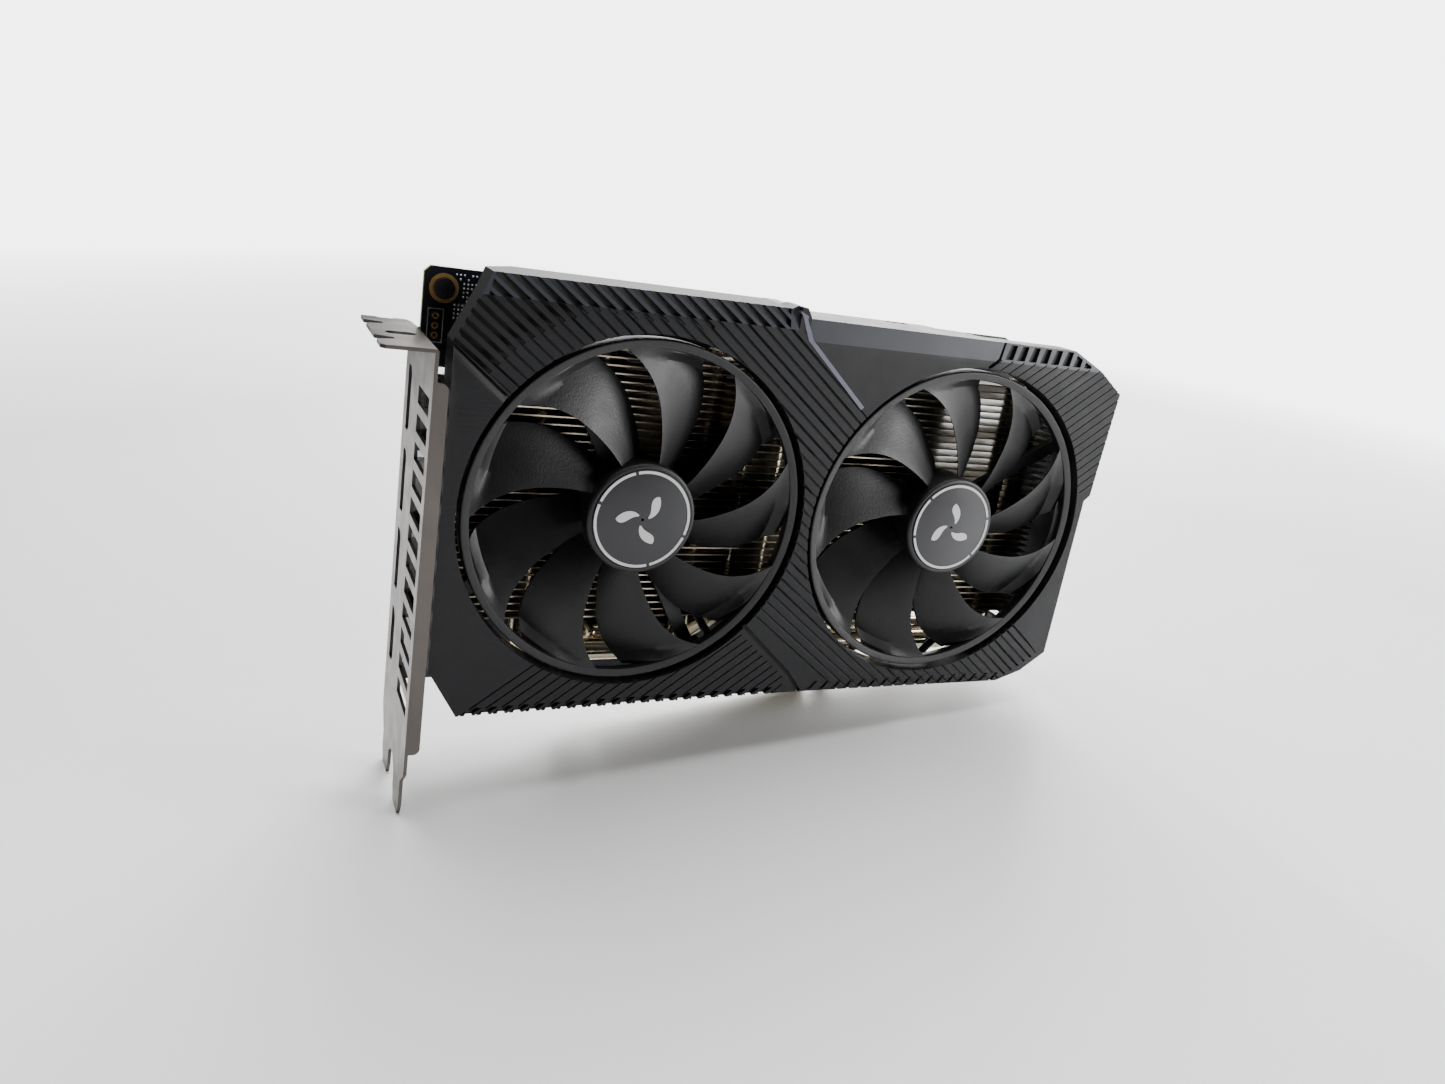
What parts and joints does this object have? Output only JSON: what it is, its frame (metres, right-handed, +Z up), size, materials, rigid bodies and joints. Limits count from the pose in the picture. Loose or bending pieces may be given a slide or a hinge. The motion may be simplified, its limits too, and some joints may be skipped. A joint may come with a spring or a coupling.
{
  "type": "graphics card",
  "caption": "Two-slot graphics card: fan-cooled finned heatsink with heat pipes on a circuit board, under a ribbed shroud, with a slotted steel bracket and display sockets.",
  "frame": {"origin": "bottom centre of the card's box, level with the tips of the bracket's tails", "axes": "+X along the card away from the bracket, +Y from the fans towards the circuit board, +Z up, away from the edge contacts"},
  "size_m": [0.2114, 0.0388, 0.1381],
  "materials": {
    "board_black": "black solder mask, slightly glossy",
    "gold": "thin gold plating",
    "screw_steel": "dark nickel-plated steel",
    "package_green": "laminate carrier",
    "silicon": "polished silicon, opaque",
    "paste_grey": "grey thermal paste",
    "chip_black": "moulded epoxy",
    "pad_grey": "soft silicone pad",
    "inductor_grey": "pressed ferrite",
    "capacitor_can": "bright can with a dark marked edge",
    "connector_black": "glass-filled nylon",
    "port_steel": "nickel-plated sheet",
    "bracket_steel": "matte stainless sheet",
    "nickel": "nickel plating over copper, warm and shiny",
    "fin_aluminium": "mill-finish sheet",
    "backplate_black": "fine-textured black coating",
    "shroud_plastic": "matte moulded plastic, ribbed and finely textured",
    "accent_lilac": "satin lavender grey",
    "fan_plastic": "fine-grained moulded plastic",
    "bearing_bronze": "sintered bronze",
    "stator_steel": "laminated and drawn steel",
    "copper": "enamelled copper wire",
    "drive_board": "small green board",
    "lead_black": "insulated wires",
    "badge_satin": "satin dark grey disc with a pale ring",
    "magnet_grey": "bonded magnet"
  },
  "bodies": {
    "card": {"accent_strip": "accent_lilac", "backplate": "backplate_black", "backplate_screws": "screw_steel", "board_screws": "screw_steel", "bracket_screws": "screw_steel", "capacitors": "capacitor_can", "circuit_board": "board_black", "cold_plate": "nickel", "control_chips": "chip_black", "displayport_cores": "connector_black", "displayport_shells": "port_steel", "edge_contacts": "gold", "fan_bearing_left": "bearing_bronze", "fan_bearing_right": "bearing_bronze", "fan_board_left": "drive_board", "fan_board_right": "drive_board", "fan_coils_left": "copper", "fan_coils_right": "copper", "fan_frame_left": "fan_plastic", "fan_frame_right": "fan_plastic", "fan_headers": "connector_black", "fan_lead_left": "lead_black", "fan_lead_right": "lead_black", "fan_screws": "screw_steel", "fan_stator_left": "stator_steel", "fan_stator_right": "stator_steel", "fin_stack_left": "fin_aluminium", "fin_stack_right": "fin_aluminium", "gpu_die": "silicon", "gpu_package": "package_green", "gpu_paste": "paste_grey", "gpu_screws": "screw_steel", "gpu_springs": "screw_steel", "hdmi_core": "connector_black", "hdmi_shell": "port_steel", "heat_pipe_inner_left": "nickel", "heat_pipe_inner_right": "nickel", "heat_pipe_outer_left": "nickel", "heat_pipe_outer_right": "nickel", "inductors": "inductor_grey", "io_bracket": "bracket_steel", "memory_chips": "chip_black", "memory_pads": "pad_grey", "pipe_block": "fin_aluminium", "power_pins": "gold", "power_socket": "connector_black", "power_stages": "chip_black", "screw_pads": "gold", "shroud": "shroud_plastic"},
    "fan_left": {"impeller_left": "fan_plastic", "hub_badge_left": "badge_satin", "rotor_cup_left": "stator_steel", "rotor_magnet_left": "magnet_grey", "rotor_shaft_left": "stator_steel"},
    "fan_right": {"impeller_right": "fan_plastic", "hub_badge_right": "badge_satin", "rotor_cup_right": "stator_steel", "rotor_magnet_right": "magnet_grey", "rotor_shaft_right": "stator_steel"}
  },
  "joints": [
    {"name": "fan_left_spin", "type": "hinge", "parent": "card", "child": "fan_left", "pos_m": [-0.04029, -0.0122, 0.0816], "axis": [0, 1, 0], "continuous": true},
    {"name": "fan_right_spin", "type": "hinge", "parent": "card", "child": "fan_right", "pos_m": [0.05482, -0.0122, 0.0816], "axis": [0, 1, 0], "continuous": true}
  ]
}
